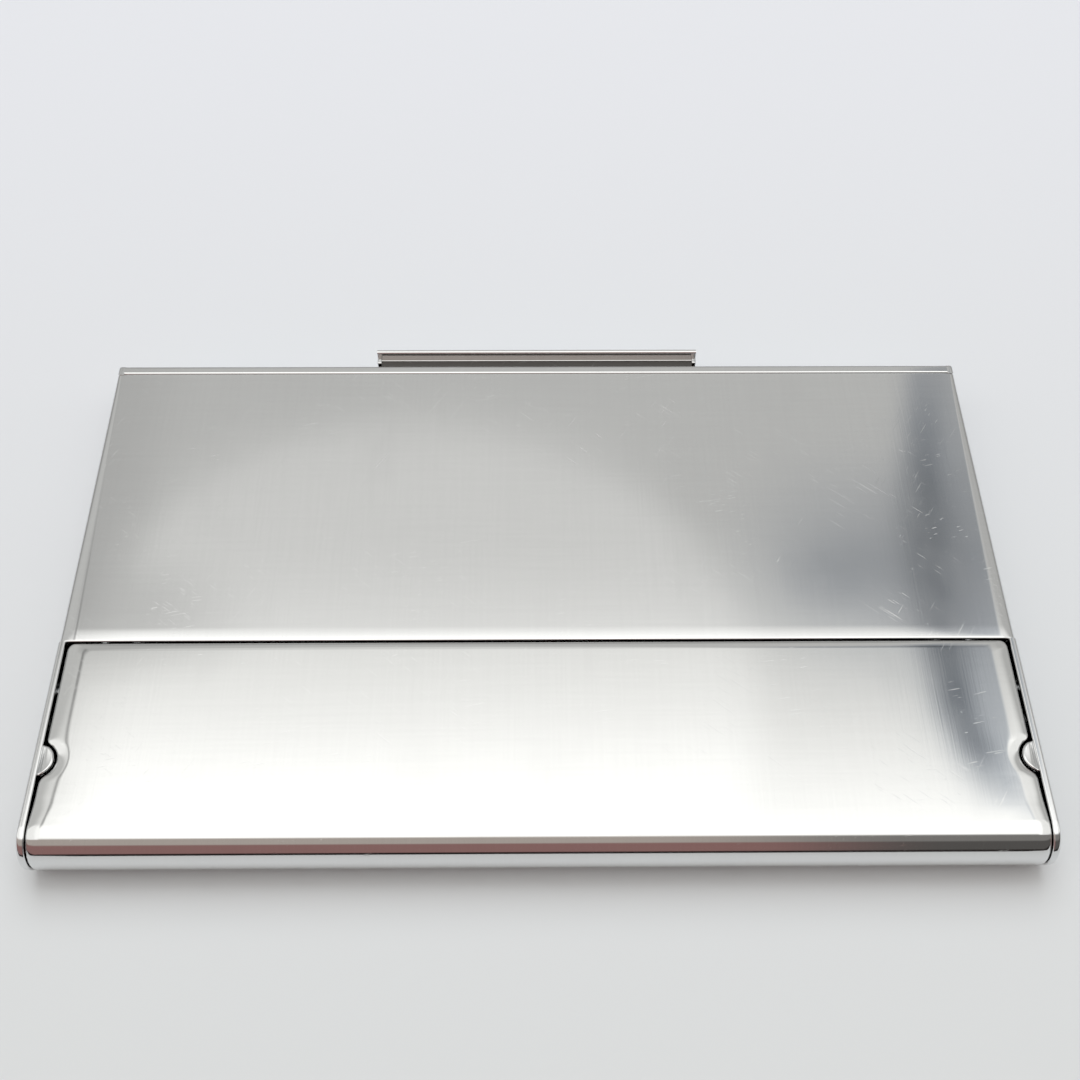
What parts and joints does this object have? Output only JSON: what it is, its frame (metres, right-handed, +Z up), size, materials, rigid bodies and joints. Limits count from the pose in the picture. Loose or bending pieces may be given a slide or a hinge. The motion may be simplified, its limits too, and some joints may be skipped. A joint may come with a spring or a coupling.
{
  "type": "business card case",
  "caption": "Flat polished metal business card case with a rolled-front hinged lid, half-moon locating lugs and a rear thumb bar that opens the lid.",
  "frame": {"origin": "on the surface the case lies on, under the middle of the whole object", "axes": "+X to the right along the longest side, -Y towards the lid's rolled front, +Y towards the thumb bar, +Z up through the thin direction"},
  "size_m": [0.096, 0.0594, 0.0062],
  "materials": {
    "polished_shell": "satin-polished plated metal with fine handling scratches",
    "polished_lid": "polished plated metal with fine handling scratches",
    "plated_hardware": "plain plated small parts",
    "spring_steel": "hard-rolled strip"
  },
  "bodies": {
    "case": {"top_shell": "polished_shell", "bottom_cover": "polished_shell", "rear_wall": "polished_shell", "cover_rivets": "plated_hardware", "rear_wall_rivets": "plated_hardware", "card_spring": "spring_steel", "card_spring_rivets": "plated_hardware", "detent_spring_left": "spring_steel", "detent_spring_right": "spring_steel", "detent_rivets": "plated_hardware", "guide_studs_left": "plated_hardware", "guide_studs_right": "plated_hardware", "hinge_pin_left": "plated_hardware", "hinge_pin_right": "plated_hardware", "hinge_washers": "plated_hardware"},
    "lid": {"lid": "polished_lid", "lid_end_left": "plated_hardware", "lid_end_right": "plated_hardware", "crank_pin_left": "plated_hardware", "crank_pin_right": "plated_hardware"},
    "pusher": {"push_frame": "plated_hardware", "link_arm_left": "plated_hardware", "link_arm_right": "plated_hardware", "link_rivets": "plated_hardware", "thumb_bar": "polished_shell", "thumb_bar_rivets": "plated_hardware"}
  },
  "joints": [
    {"name": "lid_hinge", "type": "hinge", "parent": "case", "child": "lid", "pos_m": [0, -0.0266, 0.0031], "axis": [1, 0, 0], "range_deg": [0, 90]},
    {"name": "pusher_slide", "type": "slide", "parent": "case", "child": "pusher", "axis": [0, -1, 0], "range_m": [0, 0.00163]}
  ],
  "couplings": [
    {"joint": "pusher_slide", "follows": "lid_hinge", "m_per_rad": 0.0010354}
  ]
}
